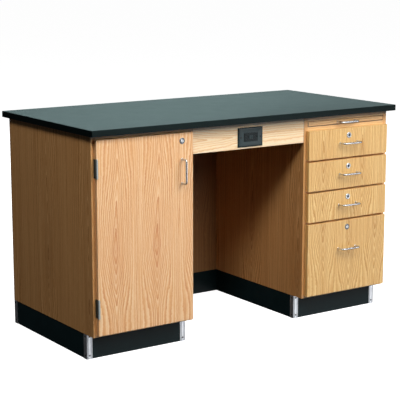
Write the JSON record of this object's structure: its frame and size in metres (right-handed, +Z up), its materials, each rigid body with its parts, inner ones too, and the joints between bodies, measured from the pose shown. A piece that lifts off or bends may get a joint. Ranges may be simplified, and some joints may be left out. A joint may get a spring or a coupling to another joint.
{
  "type": "teacher desk",
  "caption": "Instructor's desk with a resin worktop on two oak pedestals: a cupboard with a hinged door, and drawers under a pull-out writing board, with an outlet over the knee space.",
  "frame": {"origin": "on the floor, under the middle of the whole desk with its pulls", "axes": "+X to the right of a person facing the fronts, along the desk's length; +Y towards the back; +Z up"},
  "size_m": [1.524, 0.7764, 0.9144],
  "materials": {
    "resin_top": "matte black epoxy resin",
    "oak_veneer": "clear satin lacquer on oak veneered plywood",
    "oak_lumber": "clear satin lacquer on solid oak",
    "drawer_box_wood": "clear lacquer on birch plywood",
    "black_plinth": "black painted board",
    "aluminium_posts": "satin",
    "chrome_wire": "brushed chrome",
    "lock_metal": "polished nickel",
    "hinge_steel": "dull dark chrome",
    "zinc_steel": "zinc plated",
    "dark_screws": "blackened",
    "outlet_plastic": "satin black thermoplastic"
  },
  "bodies": {
    "desk_case": {"worktop": "resin_top", "left_outer_side": "oak_veneer", "left_inner_side": "oak_veneer", "left_bottom": "oak_veneer", "left_back": "oak_veneer", "left_rails": "oak_lumber", "cupboard_shelf": "oak_veneer", "shelf_pins": "zinc_steel", "right_inner_side": "oak_veneer", "right_outer_side": "oak_veneer", "right_bottom": "oak_veneer", "right_back": "oak_veneer", "right_rails": "oak_lumber", "writing_board_runners": "oak_lumber", "apron": "oak_veneer", "knee_back": "oak_veneer", "plinth_boards": "black_plinth", "plinth_corner_posts": "aluminium_posts", "plinth_screws": "dark_screws", "hinge_frame_leaves": "hinge_steel", "hinge_pins": "hinge_steel", "outlet_plate": "outlet_plastic", "outlet_receptacle": "outlet_plastic", "outlet_box": "zinc_steel", "outlet_screws": "dark_screws", "slide_cabinet_members": "zinc_steel"},
    "door": {"door_panel": "oak_veneer", "door_pull": "chrome_wire", "hinge_door_leaves": "hinge_steel", "door_lock_case": "lock_metal"},
    "door_lock": {"door_lock_plug": "lock_metal"},
    "writing_board": {"writing_board": "oak_veneer", "writing_board_pull": "chrome_wire"},
    "drawer_1": {"drawer_1_front": "oak_veneer", "drawer_1_box": "drawer_box_wood", "drawer_1_pull": "chrome_wire", "drawer_1_lock_case": "lock_metal", "drawer_1_slide": "zinc_steel"},
    "drawer_1_lock": {"drawer_1_lock_plug": "lock_metal"},
    "drawer_2": {"drawer_2_front": "oak_veneer", "drawer_2_box": "drawer_box_wood", "drawer_2_pull": "chrome_wire", "drawer_2_lock_case": "lock_metal", "drawer_2_slide": "zinc_steel"},
    "drawer_2_lock": {"drawer_2_lock_plug": "lock_metal"},
    "drawer_3": {"drawer_3_front": "oak_veneer", "drawer_3_box": "drawer_box_wood", "drawer_3_pull": "chrome_wire", "drawer_3_lock_case": "lock_metal", "drawer_3_slide": "zinc_steel"},
    "drawer_3_lock": {"drawer_3_lock_plug": "lock_metal"},
    "file_drawer": {"file_drawer_front": "oak_veneer", "file_drawer_box": "drawer_box_wood", "file_drawer_pull": "chrome_wire", "file_drawer_lock_case": "lock_metal", "file_drawer_slide": "zinc_steel"},
    "file_drawer_lock": {"file_drawer_lock_plug": "lock_metal"},
    "file_slide_middle": {"file_slide_middle": "zinc_steel"},
    "test_button": {"outlet_test_button": "outlet_plastic"},
    "reset_button": {"outlet_reset_button": "outlet_plastic"}
  },
  "joints": [
    {"name": "door_hinge", "type": "hinge", "parent": "desk_case", "child": "door", "pos_m": [-0.733, -0.3582, 0.4923], "axis": [0, 0, -1], "range_deg": [0, 180]},
    {"name": "door_lock_turn", "type": "hinge", "parent": "door", "child": "door_lock", "pos_m": [-0.346, -0.3532, 0.842], "axis": [0, 1, 0], "range_deg": [0, 90]},
    {"name": "writing_board_slide", "type": "slide", "parent": "desk_case", "child": "writing_board", "axis": [0, -1, 0], "range_m": [0, 0.33]},
    {"name": "drawer_1_slide", "type": "slide", "parent": "desk_case", "child": "drawer_1", "axis": [0, -1, 0], "range_m": [0, 0.415]},
    {"name": "drawer_1_lock_turn", "type": "hinge", "parent": "drawer_1", "child": "drawer_1_lock", "pos_m": [0.5135, -0.3532, 0.7976], "axis": [0, 1, 0], "range_deg": [0, 90]},
    {"name": "drawer_2_slide", "type": "slide", "parent": "desk_case", "child": "drawer_2", "axis": [0, -1, 0], "range_m": [0, 0.415]},
    {"name": "drawer_2_lock_turn", "type": "hinge", "parent": "drawer_2", "child": "drawer_2_lock", "pos_m": [0.5135, -0.3532, 0.6636], "axis": [0, 1, 0], "range_deg": [0, 90]},
    {"name": "drawer_3_slide", "type": "slide", "parent": "desk_case", "child": "drawer_3", "axis": [0, -1, 0], "range_m": [0, 0.415]},
    {"name": "drawer_3_lock_turn", "type": "hinge", "parent": "drawer_3", "child": "drawer_3_lock", "pos_m": [0.5135, -0.3532, 0.5296], "axis": [0, 1, 0], "range_deg": [0, 90]},
    {"name": "file_drawer_slide", "type": "slide", "parent": "desk_case", "child": "file_drawer", "axis": [0, -1, 0], "range_m": [0, 0.55]},
    {"name": "file_drawer_lock_turn", "type": "hinge", "parent": "file_drawer", "child": "file_drawer_lock", "pos_m": [0.5135, -0.3532, 0.3956], "axis": [0, 1, 0], "range_deg": [0, 90]},
    {"name": "file_slide_middle_slide", "type": "slide", "parent": "desk_case", "child": "file_slide_middle", "axis": [0, -1, 0], "range_m": [0, 0.275]},
    {"name": "test_button_press", "type": "slide", "parent": "desk_case", "child": "test_button", "axis": [0, 1, 0], "range_m": [0, 0.001], "stiffness_N_per_m": 800, "springref_m": -0.0005},
    {"name": "reset_button_press", "type": "slide", "parent": "desk_case", "child": "reset_button", "axis": [0, 1, 0], "range_m": [0, 0.001], "stiffness_N_per_m": 800, "springref_m": -0.0005}
  ],
  "couplings": [
    {"joint": "file_slide_middle_slide", "follows": "file_drawer_slide", "ratio": 0.5}
  ]
}
